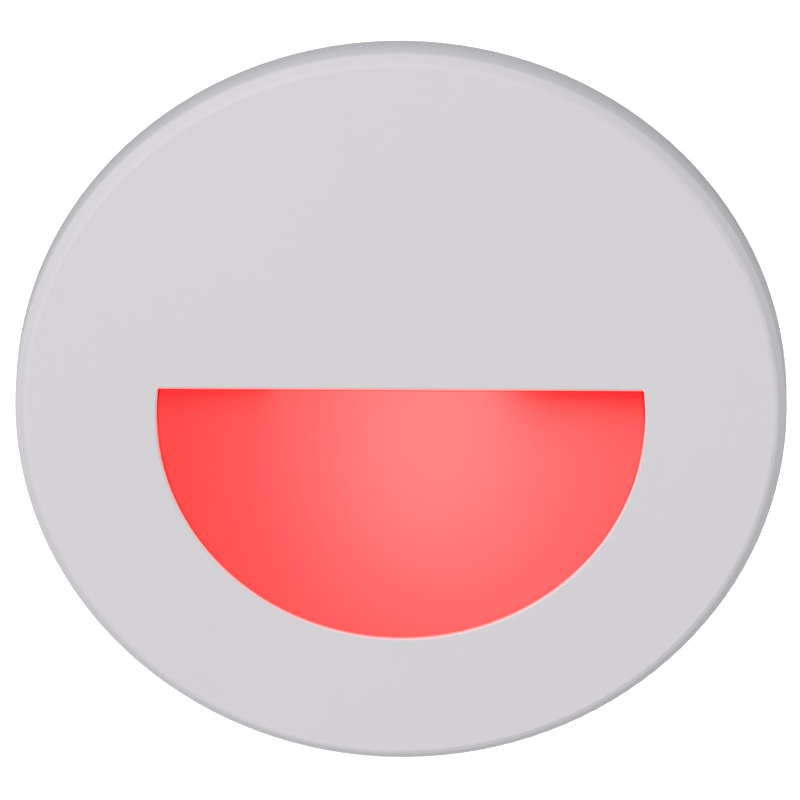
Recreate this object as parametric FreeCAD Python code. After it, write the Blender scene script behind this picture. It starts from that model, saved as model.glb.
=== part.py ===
"""Round recessed step light with a half-moon window.

A bevelled trim disc covers a hole in a wall or a stair riser. Behind it sits a finned housing with a light
chamber in front and a driver compartment at the back. Two sprung clip arms grip the back of the panel.

Millimetres. +X is to the right, +Y goes into the wall and +Z is up. The origin is on the axis of the disc,
in the plane of the wall's face, where the back of the trim rests.
"""

import FreeCAD, Part
import math
import os

V = FreeCAD.Vector
X_AXIS = V(1, 0, 0)
Y_AXIS = V(0, 1, 0)
Z_AXIS = V(0, 0, 1)

# ---- trim disc ----
trim_thickness = 4.7
trim_web = 2.7  # thickness of the front web inside the rim
trim_rim = 2.5  # width of the rim that reaches the wall
bevel_width = 1.1
bevel_depth = 1.15
bevel_face_softness = 0.8  # radius that blends the bevel into the face
bevel_side_softness = 0.5  # radius that blends the bevel into the side wall

# ---- half-moon window ----
window_centre_z = -0.7
window_chord_z = 2.75
window_corner = 0.4
window_chamfer = 0.2

# ---- lens and its seal ----
lens_recess = 0.3  # how far the lens face lies behind the trim face
lens_clearance = 0.1
lens_lip = 1.1  # how far the lens flange reaches past the window
lens_flange = 1.2
lens_seal = 0.5
lens_pocket_depth = 1.4
lens_edge = 0.2

# ---- foam ring behind the trim ----
foam_width = 3.6
foam_gap = 0.2

# ---- clearances ----
fit_gap = 0.2  # between parts that drop into each other
screw_gap = 0.25  # between a screw head's seat and the wall beside it
board_gap = 0.8  # round the light board

# ---- housing ----
housing_wall = 2.3
screw_land = 5.5  # how far the flange reaches past the housing's wall
front_depth = 20.0  # from the wall face to the back of the bulkhead
bulkhead = 3.0
oring_section = 1.4
oring_land = 1.15
oring_gap = 0.05
groove_count = 3
groove_pitch = 4.2
groove_width = 1.5
groove_depth = 0.9
groove_lead = 0.5  # how far the first groove starts before the clip pockets
boss_radius = 2.6
boss_length = 6.5
boss_root = 0.2  # how deep a boss stands in the wall
body_screw_angles = (60.0, 120.0, 240.0, 300.0)
body_seal = 0.5

# ---- driver housing ----
rear_wall = 2.4
rear_step = 0.2  # how far the rear section stays below the clip pockets' floor
fin_spacing = 12.0  # degrees
fin_thickness = 1.3
fin_setback = 2.5
fin_tip_height = 1.6
fin_end_gap = 2.5
lug_angles = (35.0, 145.0, 215.0, 325.0)
lug_offset = 0.4
lug_radius = 3.0
lug_length = 10.0

# ---- screws: shank, head and length under the head ----
trim_screw_angles = (90.0, 210.0, 330.0)
trim_screw_skin = 0.7  # metal left between a trim screw and the trim's face
m25 = 2.4  # modelled shank of an M2.5 screw
m25_tap = 2.5
m25_clear = 2.8
m25_head = 4.5
m25_head_height = 1.5
m3 = 2.9  # modelled shank of an M3 screw
m3_tap = 3.0
m3_clear = 3.4
m3_head = 5.4
m3_head_height = 2.0
board_screw_length = 4.0
body_screw_length = 8.0
driver_screw_length = 4.2
cover_screw_length = 9.0
bracket_screw_length = 3.8
flat_rim = 0.15  # edge of a countersunk head
tap_spare = 0.2  # how far a blind hole runs past its screw

# ---- light chamber and light board ----
chamber_wall = 1.2
mouth_inset = 0.15  # how far the chamber's mouth lies inside the window's outline
throat_radius = 13.0
throat_centre_z = -3.0
throat_chord_z = 2.0
pad_thickness = 0.5
board_thickness = 1.6
board_edge = 1.85  # from the low screw hole to the board's edge
board_screw_inset = 5.8
board_screw_rise = 3.5
led_side_edge = 5.5  # from the outer LEDs to the throat's sides
led_low_edge = 6.5  # from the lower LEDs to the throat's lowest place
led_pitch_z = 7.0
led_width = 3.5
led_height = 2.8
led_thickness = 0.8
led_well_radius = 1.15
led_well_depth = 0.35
plug_x = 8.0
plug_margin = 1.0
plug_width = 6.4
plug_height = 3.8
plug_depth = 4.0
plug_slot = 0.8
plug_slot_height = 1.4

# ---- leads between the two boards ----
lead_diameter = 1.2
lead_gap = 0.5
lead_bend = 4.2
lead_hole_gap = 0.1
grommet_edge = 5.7  # from the grommet's middle to the driver board's edge
grommet_hole = 5.6
grommet_collar = 8.2
grommet_collar_thickness = 0.9
grommet_bore = 3.4

# ---- driver: boards and what stands on it; each edge is a distance from the board's rim ----
driver_gap = 2.1
driver_thickness = 1.6
pillar_height = 5.6
pillar_flats = 4.5
pillar_edge = 3.0
pillar_stud = 1.8
pillar_angles = (0.0, 180.0, 300.0)
can_radius = 4.0
can_length = 11.5
can_neck = 0.35
can_x = -5.0
can_edge = 8.7
coil_radius = 4.2
coil_height = 5.0
coil_rim = 1.0
coil_edge = 7.1
coil_z = -6.6
rectifier_size = (8.2, 2.6, 6.4)
rectifier_edge = 10.5
rectifier_z = -6.5
rectifier_leg = (1.1, 0.4, 1.2)
chip_size = (4.9, 1.5, 3.9)
chip_x = 4.5
chip_z = -1.0
chip_leg = (0.4, 0.35, 1.1)
chip_leg_pitch = 1.27
chip_leg_count = 4
chip_dot_radius = 0.35
chip_dot_inset = 0.75
diode_size = (4.3, 2.2, 2.6)
diode_edge = 9.0
diode_z = 3.2
resistor_size = (3.2, 0.6, 1.6)
resistor_x = 5.5
resistor_z = 4.5
resistor_pitch = 2.4
resistor_count = 4
block_size = (10.0, 7.6, 7.0)
block_edge = 5.3
block_screw = 2.6
block_slot = 0.5
block_wire_hole = 2.2
service_gap = 0.9  # between the terminal block and the gland

# ---- rear cover and cable gland ----
cover_thickness = 2.5
cover_seal = 0.8
spigot_depth = 1.2
spigot_wall = 1.6
gland_z = -7.0
gland_thread = 12.0
gland_flats = 15.0
gland_hex = 4.0
gland_spare = 0.6  # thread that shows past the lock nut
gland_washer = 0.8
gland_locknut = 2.5
gland_claw_length = 7.0
gland_claw_root = 1.5
gland_claw_outer = 10.4
gland_claw_count = 6
gland_claw_slot = 1.0
gland_bush_outer = 8.4
gland_cable = 5.2  # bore of the rubber bush
gland_bush_length = 7.2
nut_length = 9.0
nut_shoulder = 5.5
nut_mouth = 8.0
nut_rim = 1.0

# ---- spring clips ----
sheet = 1.0  # bracket sheet
arm_sheet = 0.8
arm_half_width = 5.2
arm_side_gap = 0.4
pin_diameter = 2.0
pin_fit = 0.02
pin_running = 0.05
pin_head = 3.2
pin_head_thickness = 0.6
pocket_depth = 7.3
pocket_wall = 1.6
pocket_side_gap = 1.0
pocket_front_gap = 0.5
pivot_height = 3.7  # above the pocket's floor
pivot_back = 4.0  # from the pin to the back of the bulkhead
bracket_screw_back = 5.8  # from the pin to the bracket's screw
bracket_front = 2.7  # from the bracket's screw to its front edge
bracket_back = 3.4  # from the pin to the bracket's back edge
bracket_ear_radius = 2.2
clip_boss_radius = 2.8
clip_boss_reach = 2.0
arm_length = 17.7
arm_rest_angle = 135.0  # from folded back along the housing to the stop
arm_tip_offset = 0.8
arm_heel = 0.3  # runs past the pin and stops the arm at the bracket
arm_ear_radius = 1.9
arm_ear_length = 6.0
tip_length = 6.0
tip_thickness = 2.4
tip_side = 0.4
tip_fit = 0.02
spring_wire = 0.6
spring_radius = 1.9
spring_pitch = 1.05
spring_turns = 6
spring_foot = 3.4
spring_toe = 7.5
spring_gap = 0.1

# ---- places worked out from the sizes above, from the light board outwards ----
board_low_z = throat_centre_z - throat_radius - chamber_wall - m25_head / 2 - board_gap
board_radius = window_centre_z - board_low_z + m25_clear / 2 + board_edge
pocket_floor = board_radius + board_gap + pocket_wall
housing_radius = pocket_floor + pocket_depth
housing_bore = housing_radius - housing_wall
flange_radius = housing_radius + screw_land
trim_radius = flange_radius + 2 * foam_gap + foam_width + trim_rim
window_radius = housing_bore - fit_gap - lens_lip + window_centre_z
trim_screw_circle = housing_radius + m25_head / 2 + screw_gap
trim_screw_reach = trim_thickness - trim_screw_skin
oring_radius = housing_bore + oring_land + oring_section / 2 + oring_gap
body_screw_circle = housing_bore + boss_root - boss_radius

face_y = -trim_thickness
web_back_y = face_y + trim_web
pocket_y = web_back_y - lens_pocket_depth
flange_y = pocket_y + lens_seal
lens_back_y = flange_y + lens_flange
bulkhead_front_y = front_depth - bulkhead
board_back_y = bulkhead_front_y - pad_thickness
board_front_y = board_back_y - board_thickness
throat_y = board_front_y - fit_gap

pivot_x = pocket_floor + pivot_height
pivot_y = front_depth - pivot_back
bracket_screw_y = pivot_y - bracket_screw_back
bracket_front_y = bracket_screw_y - bracket_front
bracket_back_y = pivot_y + bracket_back
pocket_start_y = bracket_front_y - pocket_front_gap
groove_first_y = pocket_start_y - groove_lead
arm_root_offset = spring_radius + spring_wire / 2 + spring_gap + arm_sheet / 2
bracket_half_width = arm_half_width + arm_side_gap + sheet
pocket_half_width = bracket_half_width + pin_head_thickness + pocket_side_gap

rear_radius = pocket_floor - rear_step
rear_bore = rear_radius - rear_wall
fin_root_reach = housing_radius - fin_setback
fin_tip_reach = rear_radius + fin_tip_height
lug_circle = rear_radius + lug_offset
driver_radius = rear_bore - driver_gap
driver_front_y = front_depth + pillar_height
driver_back_y = driver_front_y + driver_thickness
pillar_circle = driver_radius - pillar_edge
can_z = driver_radius - can_edge
coil_x = driver_radius - coil_edge
rectifier_x = rectifier_edge - driver_radius
diode_x = driver_radius - diode_edge
block_z = block_edge - driver_radius
grommet_z = driver_radius - grommet_edge
board_top_z = grommet_z - grommet_collar / 2 - board_gap
plug_z = board_top_z - plug_margin - plug_height / 2

cover_front_y = driver_back_y + block_size[1] + service_gap + gland_spare + gland_locknut
cover_back_y = cover_front_y + cover_thickness
rear_end_y = cover_front_y - cover_seal
fin_end_y = rear_end_y - fin_end_gap
gland_hex_y = cover_back_y + gland_washer
gland_claw_y = gland_hex_y + gland_hex


def cylinder(radius, y0, y1, x=0.0, z=0.0):
    """A cylinder along Y."""
    return Part.makeCylinder(radius, y1 - y0, V(x, y0, z), Y_AXIS)


def ring(outer, inner, y0, y1, x=0.0, z=0.0):
    """A tube along Y."""
    return cylinder(outer, y0, y1, x, z).cut(cylinder(inner, y0 - 1, y1 + 1, x, z))


def block(x0, x1, y0, y1, z0, z1):
    """A box between two corners."""
    return Part.makeBox(x1 - x0, y1 - y0, z1 - z0, V(x0, y0, z0))


def slab(width, depth, height, x, y0, z):
    """A box centred on x and z that stands on the plane y0."""
    return block(x - width / 2, x + width / 2, y0, y0 + depth, z - height / 2, z + height / 2)


def turned(points):
    """A solid turned about Y from (radius, y) corners."""
    corners = [V(r, y, 0) for r, y in points]
    face = Part.Face(Part.makePolygon(corners + corners[:1]))
    return face.revolve(V(0, 0, 0), Y_AXIS, 360)


def polar(radius, degrees):
    """X and Z at an angle measured from +X towards +Z."""
    return radius * math.cos(math.radians(degrees)), radius * math.sin(math.radians(degrees))


def hexagon(flats, y0, y1, x=0.0, z=0.0):
    """A hexagonal prism along Y."""
    reach = flats / math.sqrt(3)
    corners = [V(x + polar(reach, 60 * i)[0], y0, z + polar(reach, 60 * i)[1]) for i in range(6)]
    return Part.Face(Part.makePolygon(corners + corners[:1])).extrude(V(0, y1 - y0, 0))


def half_moon_wire(radius, centre_z, chord_z, corner, y):
    """A circle cut by a level chord, with rounded corners where they meet."""
    up = chord_z - corner - centre_z
    side = math.sqrt((radius - corner) ** 2 - up**2)
    share = radius / (radius - corner)
    arc_x, arc_z = side * share, centre_z + up * share
    lean = math.atan2(up, side)
    mid = (lean + math.pi / 2) / 2
    mid_x, mid_z = side + corner * math.cos(mid), chord_z - corner + corner * math.sin(mid)
    return Part.Wire(
        [
            Part.LineSegment(V(-side, y, chord_z), V(side, y, chord_z)).toShape(),
            Part.Arc(V(side, y, chord_z), V(mid_x, y, mid_z), V(arc_x, y, arc_z)).toShape(),
            Part.Arc(V(arc_x, y, arc_z), V(0, y, centre_z - radius), V(-arc_x, y, arc_z)).toShape(),
            Part.Arc(V(-arc_x, y, arc_z), V(-mid_x, y, mid_z), V(-side, y, chord_z)).toShape(),
        ]
    )


def window_wire(offset, y):
    """The window's outline, grown by an offset."""
    return half_moon_wire(
        window_radius + offset, window_centre_z, window_chord_z + offset, window_corner + offset, y
    )


def window_prism(offset, y0, y1):
    """The window's outline as a prism along Y."""
    return Part.Face(window_wire(offset, y0)).extrude(V(0, y1 - y0, 0))


def taper(wire_a, wire_b):
    """A solid with straight sides between two outlines."""
    return Part.makeLoft([wire_a, wire_b], True, True)


def aim(shape, origin, direction):
    """Places a shape made along +Y from the origin so that +Y points along a direction."""
    turn = FreeCAD.Rotation(Y_AXIS, direction)
    shape.Placement = FreeCAD.Placement(origin, turn)
    return shape


def cross_recess(head, y_face, depth):
    """A cross-shaped driver recess that opens at y_face and goes towards +Y."""
    arm = head * 0.28
    width = head * 0.1
    bar = block(-arm, arm, y_face, y_face + depth, -width, width)
    return bar.fuse(block(-width, width, y_face, y_face + depth, -arm, arm))


def pan_screw(shank, head, head_height, length):
    """A pan-head screw: the head's seat is at y = 0 and the shank goes towards +Y."""
    crown = head_height * 0.35
    body = turned(
        [(0, -head_height), (head * 0.3, -head_height), (head / 2, crown - head_height), (head / 2, 0)]
        + [(shank / 2, 0), (shank / 2, length - shank * 0.15), (shank * 0.35, length), (0, length)]
    )
    return body.cut(cross_recess(head, -head_height, head_height * 0.6))


def flat_screw_blank(shank, head, length):
    """A countersunk screw without its recess, which is also the shape of its seat."""
    cone = (head - shank) / 2
    return turned(
        [(0, 0), (head / 2, 0), (head / 2, flat_rim), (shank / 2, flat_rim + cone)]
        + [(shank / 2, length - shank * 0.15), (shank * 0.35, length), (0, length)]
    )


def flat_screw(shank, head, length):
    """A countersunk screw: the head's face is at y = 0 and the shank goes towards +Y."""
    depth = (head - shank) * 0.35
    return flat_screw_blank(shank, head, length).cut(cross_recess(head, 0, depth))


def swept(path, circle):
    """A solid swept along a path from a circle at its start."""
    shell = Part.BRepOffsetAPI.MakePipeShell(path)
    shell.add(Part.Wire([circle]))
    shell.build()
    shell.makeSolid()
    return Part.Solid(shell.shape())


def tube_along(points, radius):
    """A round tube along straight runs and the arcs that join them. Each point is (place, bend radius)."""
    places = [place for place, _ in points]
    edges = []
    start = places[0]
    for before, (corner, bend), after in zip(places, points[1:-1], places[2:]):
        arrive = (corner - before).normalize()
        leave = (after - corner).normalize()
        half_turn = arrive.getAngle(leave) / 2
        tangent = bend * math.tan(half_turn)
        first = corner - arrive * tangent
        last = corner + leave * tangent
        inward = (leave - arrive).normalize()
        middle = corner + inward * (bend / math.cos(half_turn) - bend)
        edges.append(Part.LineSegment(start, first).toShape())
        edges.append(Part.Arc(first, middle, last).toShape())
        start = last
    edges.append(Part.LineSegment(start, places[-1]).toShape())
    path = Part.Wire(edges)
    solid = swept(path, Part.makeCircle(radius, places[0], places[1] - places[0]))
    expected = math.pi * radius**2 * path.Length
    print(f"tube: length {path.Length:.2f}, volume share {solid.Volume / expected:.4f}")
    return solid


# ---- front: trim, lens, seals, light chamber ----


def softened_bevel():
    """The outer half of the trim's section in the XY plane: face, bevel and side, blended by arcs."""
    inner = V(trim_radius - bevel_width, face_y, 0)
    outer = V(trim_radius, face_y + bevel_depth, 0)
    slope = (outer - inner).normalize()
    back = V(trim_radius, 0, 0)
    edges = []
    start = V(0, face_y, 0)
    corners = (
        (inner, X_AXIS, slope, bevel_face_softness),
        (outer, slope, Y_AXIS, bevel_side_softness),
    )
    for corner, arrive, leave, softness in corners:
        half_turn = arrive.getAngle(leave) / 2
        tangent = softness * math.tan(half_turn)
        first = corner - arrive * tangent
        last = corner + leave * tangent
        inward = (leave - arrive).normalize()
        middle = corner + inward * (softness / math.cos(half_turn) - softness)
        edges.append(Part.LineSegment(start, first).toShape())
        edges.append(Part.Arc(first, middle, last).toShape())
        start = last
    edges.append(Part.LineSegment(start, back).toShape())
    return edges, back


def trim_plate():
    """Turned aluminium disc with a soft bevel, the half-moon window and blind screw holes in its back."""
    edges, corner = softened_bevel()
    rest = [
        V(trim_radius - trim_rim, 0, 0),
        V(trim_radius - trim_rim, web_back_y, 0),
        V(0, web_back_y, 0),
        V(0, face_y, 0),
    ]
    for place in rest:
        edges.append(Part.LineSegment(corner, place).toShape())
        corner = place
    disc = Part.Face(Part.Wire(edges)).revolve(V(0, 0, 0), Y_AXIS, 360)
    disc = disc.cut(window_prism(0, face_y - 1, web_back_y + 1))
    chamfer_y = face_y + window_chamfer
    disc = disc.cut(taper(window_wire(window_chamfer, face_y), window_wire(0, chamfer_y)))
    disc = disc.cut(window_prism(lens_lip + fit_gap, pocket_y, web_back_y + 1))
    for x, z in trim_screw_places():
        disc = disc.cut(cylinder(m25_tap / 2, -trim_screw_reach - tap_spare, web_back_y + 1, x, z))
    return disc


def window_lens():
    """Frosted half-moon lens: a boss that fills the window and a flange behind it."""
    front = face_y + lens_recess
    boss = window_prism(-lens_clearance, front + lens_edge, flange_y)
    edge = taper(
        window_wire(-lens_clearance - lens_edge, front), window_wire(-lens_clearance, front + lens_edge)
    )
    return boss.fuse([edge, window_prism(lens_lip, flange_y, lens_back_y)]).removeSplitter()


def lens_gasket():
    """Silicone loop between the lens flange and the trim."""
    loop = window_prism(lens_lip, pocket_y, flange_y)
    return loop.cut(window_prism(lens_clearance, pocket_y - 1, flange_y + 1))


def wall_gasket():
    """Foam ring that seals the trim to the wall."""
    return ring(flange_radius + foam_gap + foam_width, flange_radius + foam_gap, web_back_y, 0)


def chamber_wire(offset, y, share):
    """The light chamber's outline between its mouth, at share 0, and its throat, at share 1."""

    def between(mouth, throat):
        return mouth + (throat - mouth) * share

    return half_moon_wire(
        between(window_radius - mouth_inset, throat_radius) + offset,
        between(window_centre_z, throat_centre_z),
        between(window_chord_z - mouth_inset, throat_chord_z) + offset,
        window_corner + chamber_wall + offset,
        y,
    )


def light_chamber():
    """White moulded light box: a round front flange with a half-moon funnel down to the light board."""
    flange_back = lens_back_y + chamber_wall
    flange = cylinder(housing_bore - fit_gap, lens_back_y, flange_back)
    outer = taper(chamber_wire(chamber_wall, lens_back_y, 0), chamber_wire(chamber_wall, throat_y, 1))
    inner = taper(chamber_wire(0, lens_back_y, 0), chamber_wire(0, throat_y, 1))
    keep = cylinder(housing_bore - fit_gap, lens_back_y, throat_y)
    return flange.fuse(outer.common(keep)).cut(inner)


def housing_oring():
    """O-ring between the housing flange and the trim."""
    centre_y = web_back_y + oring_section / 2 + oring_gap
    return Part.makeTorus(oring_radius, oring_section / 2, V(0, centre_y, 0), Y_AXIS)


def trim_screws():
    """Countersunk screws that hold the trim to the housing flange from behind."""
    screws = [
        aim(flat_screw(m25, m25_head, trim_screw_reach), V(x, 0, z), -Y_AXIS)
        for x, z in trim_screw_places()
    ]
    return Part.makeCompound(screws)


# ---- housing ----


def clip_pocket_block(side):
    """The walled pocket in the housing's side that a clip folds into, before it is hollowed."""
    inner = pocket_floor - pocket_wall
    half = pocket_half_width + pocket_wall
    body = block(inner, housing_radius, pocket_start_y - pocket_wall, front_depth, -half, half)
    return mirrored(body.common(cylinder(housing_radius, 0, front_depth)), side)


def clip_pocket_boss(side):
    """The boss inside a pocket's floor for the bracket's screw."""
    start = V(pocket_floor - pocket_wall - clip_boss_reach, bracket_screw_y, 0)
    return mirrored(Part.makeCylinder(clip_boss_radius, clip_boss_reach, start, X_AXIS), side)


def clip_pocket_space(side):
    """The space of the pocket, with the blind screw hole in its floor."""
    half = pocket_half_width
    space = block(pocket_floor, housing_radius + 1, pocket_start_y, front_depth + 1, -half, half)
    depth = bracket_screw_length - sheet + tap_spare
    hole = Part.makeCylinder(
        m25_tap / 2, depth + 1, V(pocket_floor - depth, bracket_screw_y, 0), X_AXIS
    )
    return mirrored(space.fuse(hole), side)


def mirrored(shape, side):
    """The shape as it is on the right, or turned half round the disc's axis for the left."""
    if side < 0:
        shape.rotate(V(0, 0, 0), Y_AXIS, 180)
    return shape


def trim_screw_places():
    """X and Z of the three trim screws."""
    return [polar(trim_screw_circle, angle) for angle in trim_screw_angles]


def body_screw_places():
    """X and Z of the four screws between the housing and the driver housing."""
    return [polar(body_screw_circle, angle) for angle in body_screw_angles]


def flat_seat(x, y, z, length):
    """The space of a countersunk screw whose head is at y and whose shank goes towards -Y."""
    seat = flat_screw_blank(m25_clear, m25_head + 2 * fit_gap, length)
    seat = seat.fuse(cylinder(m25_clear / 2, 0, length))
    sink = cylinder(m25_head / 2 + fit_gap, y, y + 1, x, z)
    return aim(seat, V(x, y, z), -Y_AXIS).fuse(sink)


def housing():
    """Die-cast can: flange behind the trim, ring grooves, clip pockets and bosses for the driver housing."""
    body = cylinder(flange_radius, web_back_y, 0).fuse(cylinder(housing_radius, 0, bulkhead_front_y))
    body = body.cut(cylinder(housing_bore, web_back_y - 1, bulkhead_front_y + 1))
    front = cylinder(housing_radius + 1, 0, bulkhead_front_y)
    for side in (1, -1):
        body = body.fuse([clip_pocket_block(side).common(front), clip_pocket_boss(side)])
    for x, z in body_screw_places():
        body = body.fuse(cylinder(boss_radius, bulkhead_front_y - boss_length, bulkhead_front_y, x, z))
    for side in (1, -1):
        body = body.cut(clip_pocket_space(side))
    for i in range(groove_count):
        y = groove_first_y + i * groove_pitch
        body = body.cut(ring(housing_radius + 1, housing_radius - groove_depth, y, y + groove_width))
    groove_outer = oring_radius + oring_section / 2 + oring_gap
    groove_inner = oring_radius - oring_section / 2 - oring_gap
    body = body.cut(ring(groove_outer, groove_inner, web_back_y, web_back_y + oring_section + oring_gap))
    for x, z in trim_screw_places():
        body = body.cut(flat_seat(x, 0, z, trim_thickness))
    for x, z in body_screw_places():
        tip = front_depth - body_screw_length - tap_spare
        body = body.cut(cylinder(m25_tap / 2, tip, front_depth, x, z))
    return body


def body_gasket():
    """Flat gasket between the housing's back rim, with its pocket walls, and the driver housing."""
    y0, y1 = bulkhead_front_y, bulkhead_front_y + body_seal
    gasket = ring(housing_radius, housing_bore, y0, y1)
    layer = cylinder(housing_radius, y0, y1)
    for side in (1, -1):
        gasket = gasket.fuse(clip_pocket_block(side).common(layer)).cut(clip_pocket_space(side))
    return gasket


def body_screws():
    """Countersunk screws from behind through the driver housing into the housing's bosses."""
    screws = [
        aim(flat_screw(m25, m25_head, body_screw_length), V(x, front_depth, z), -Y_AXIS)
        for x, z in body_screw_places()
    ]
    return Part.makeCompound(screws)


# ---- driver housing ----


def lug_places():
    """X and Z of the four rear cover screws."""
    return [polar(lug_circle, angle) for angle in lug_angles]


def fin_angles():
    """Angles of the cooling fins: none where the clip arms fold back or a body screw sits."""
    clear_z = arm_half_width + fin_thickness
    angles = [i * fin_spacing for i in range(round(360 / fin_spacing))]
    free = [angle for angle in angles if abs(polar(fin_root_reach, angle)[1]) > clear_z]
    return [angle for angle in free if angle not in body_screw_angles]


def fin(angle):
    """One radial fin that tapers towards the back."""
    root = rear_radius - rear_wall / 2
    start = front_depth - bulkhead / 2
    half = fin_thickness / 2
    corners = [
        V(root, start, -half), V(fin_root_reach, start, -half), V(fin_root_reach, front_depth, -half),
        V(fin_tip_reach, fin_end_y, -half), V(root, fin_end_y, -half),
    ]
    plate = Part.Face(Part.makePolygon(corners + corners[:1])).extrude(V(0, 0, fin_thickness))
    plate.rotate(V(0, 0, 0), Y_AXIS, -angle)
    return plate


def driver_housing():
    """Die-cast rear part: bulkhead, finned driver compartment and lugs for the rear cover."""
    seat_y = bulkhead_front_y + body_seal
    body = cylinder(housing_radius, seat_y, front_depth)
    for side in (1, -1):
        body = body.cut(clip_pocket_space(side))
    spigot = cylinder(housing_bore - fit_gap, bulkhead_front_y, seat_y)
    reach = pocket_floor - pocket_wall - fit_gap
    half = pocket_half_width + pocket_wall + fit_gap
    for x0, x1 in ((reach, housing_radius), (-housing_radius, -reach)):
        spigot = spigot.cut(block(x0, x1, bulkhead_front_y - 1, seat_y + 1, -half, half))
    body = body.fuse([spigot, cylinder(rear_radius, front_depth, rear_end_y)])
    lug_y = rear_end_y - lug_length
    body = body.fuse([cylinder(lug_radius, lug_y, rear_end_y, x, z) for x, z in lug_places()])
    body = body.fuse([fin(angle) for angle in fin_angles()])
    body = body.cut(cylinder(rear_bore, front_depth, rear_end_y + 1))
    for x, z in body_screw_places():
        body = body.cut(flat_seat(x, front_depth, z, bulkhead + 1))
    for x, z in board_screw_places():
        depth = board_screw_length - board_thickness - pad_thickness + tap_spare
        body = body.cut(cylinder(m25_tap / 2, bulkhead_front_y - 1, bulkhead_front_y + depth, x, z))
    for x, z in pillar_places():
        body = body.cut(cylinder(m25_tap / 2, front_depth - pillar_stud - tap_spare, front_depth + 1, x, z))
    for x, z in lug_places():
        depth = cover_screw_length - cover_thickness - cover_seal + tap_spare
        body = body.cut(cylinder(m3_tap / 2, rear_end_y - depth, rear_end_y + 1, x, z))
    return body.cut(cylinder(grommet_hole / 2, bulkhead_front_y - 1, front_depth + 1, plug_x, grommet_z))


# ---- light board ----


def board_outline(y0, y1):
    """A disc cut by a level chord, behind the light chamber."""
    disc = cylinder(board_radius, y0, y1, 0, window_centre_z)
    far = board_radius + 1
    return disc.common(block(-far, far, y0, y1, -far - 1, board_top_z))


def board_screw_places():
    """X and Z of the light board's three screws."""
    x, z = board_radius - board_screw_inset, throat_chord_z + board_screw_rise
    return [(-x, z), (x, z), (0, board_low_z)]


def led_places():
    """X and Z of each light-emitting package."""
    pitch_x = throat_radius - led_side_edge
    low_z = throat_centre_z - throat_radius + led_low_edge
    return [(column * pitch_x, z) for z in (low_z + led_pitch_z, low_z) for column in (-1, 0, 1)]


def with_board_holes(plate, y0, y1):
    """Cuts the fixing holes of the light board."""
    for x, z in board_screw_places():
        plate = plate.cut(cylinder(m25_clear / 2, y0 - 1, y1 + 1, x, z))
    return plate


def led_board():
    """Aluminium-core board that carries the LEDs."""
    return with_board_holes(board_outline(board_front_y, board_back_y), board_front_y, board_back_y)


def thermal_pad():
    """Soft pad between the light board and the bulkhead."""
    return with_board_holes(board_outline(board_back_y, bulkhead_front_y), board_back_y, bulkhead_front_y)


def led_packages():
    """White packages with a round well in front."""
    solids = []
    for x, z in led_places():
        front = board_front_y - led_thickness
        package = slab(led_width, led_thickness, led_height, x, front, z)
        solids.append(package.cut(cylinder(led_well_radius, front - 1, front + led_well_depth, x, z)))
    return Part.makeCompound(solids)


def led_fills():
    """Clear resin in the wells."""
    front = board_front_y - led_thickness
    return Part.makeCompound(
        [cylinder(led_well_radius, front, front + led_well_depth, x, z) for x, z in led_places()]
    )


def lead_columns():
    """X of the two leads."""
    half = (lead_diameter + lead_gap) / 2
    return (plug_x - half, plug_x + half)


def board_plug():
    """Two-way wire connector on the light board, open at the top for the leads."""
    front = board_front_y - plug_depth
    top = plug_z + plug_height / 2
    body = slab(plug_width, plug_depth, plug_height, plug_x, front, plug_z)
    for x in lead_columns():
        hole = Part.makeCylinder(
            lead_diameter / 2 + lead_hole_gap, plug_height / 2 + 1, V(x, lead_start_y(), plug_z), Z_AXIS
        )
        slot = slab(lead_diameter, plug_slot, plug_slot_height, x, front, top - plug_slot_height)
        body = body.cut(hole).cut(slot)
    return body


def lead_start_y():
    """Y of the leads where they leave the connector."""
    return board_front_y - plug_depth / 2


def board_screws_group():
    """Screws that clamp the light board to the bulkhead."""
    screws = [
        aim(pan_screw(m25, m25_head, m25_head_height, board_screw_length), V(x, board_front_y, z), Y_AXIS)
        for x, z in board_screw_places()
    ]
    return Part.makeCompound(screws)


def lead(x):
    """One insulated lead: up out of the connector, then back through the grommet to the driver board."""
    start = V(x, lead_start_y(), plug_z + lead_diameter / 4)
    corner = V(x, lead_start_y(), grommet_z)
    end = V(x, driver_front_y, grommet_z)
    return tube_along([(start, 0), (corner, lead_bend), (end, 0)], lead_diameter / 2)


def wire_grommet():
    """Rubber grommet in the bulkhead, with a collar on each side."""
    collar = grommet_collar / 2
    body = cylinder(
        collar, bulkhead_front_y - grommet_collar_thickness, front_depth + grommet_collar_thickness,
        plug_x, grommet_z,
    )
    waist = ring(collar + 1, grommet_hole / 2, bulkhead_front_y, front_depth, plug_x, grommet_z)
    return body.cut(waist).cut(cylinder(grommet_bore / 2, 0, driver_front_y, plug_x, grommet_z))


# ---- driver board ----


def pillar_places():
    """X and Z of the three hexagonal pillars."""
    return [polar(pillar_circle, angle) for angle in pillar_angles]


def board_pillars():
    """Hexagonal brass pillars with a threaded stud into the bulkhead and a tapped top."""
    solids = []
    for x, z in pillar_places():
        pillar = hexagon(pillar_flats, front_depth, driver_front_y, x, z)
        pillar = pillar.fuse(cylinder(m25 / 2, front_depth - pillar_stud, front_depth, x, z))
        depth = driver_screw_length - driver_thickness + tap_spare
        solids.append(pillar.cut(cylinder(m25_tap / 2, driver_front_y - depth, driver_front_y + 1, x, z)))
    return Part.makeCompound(solids)


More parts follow.
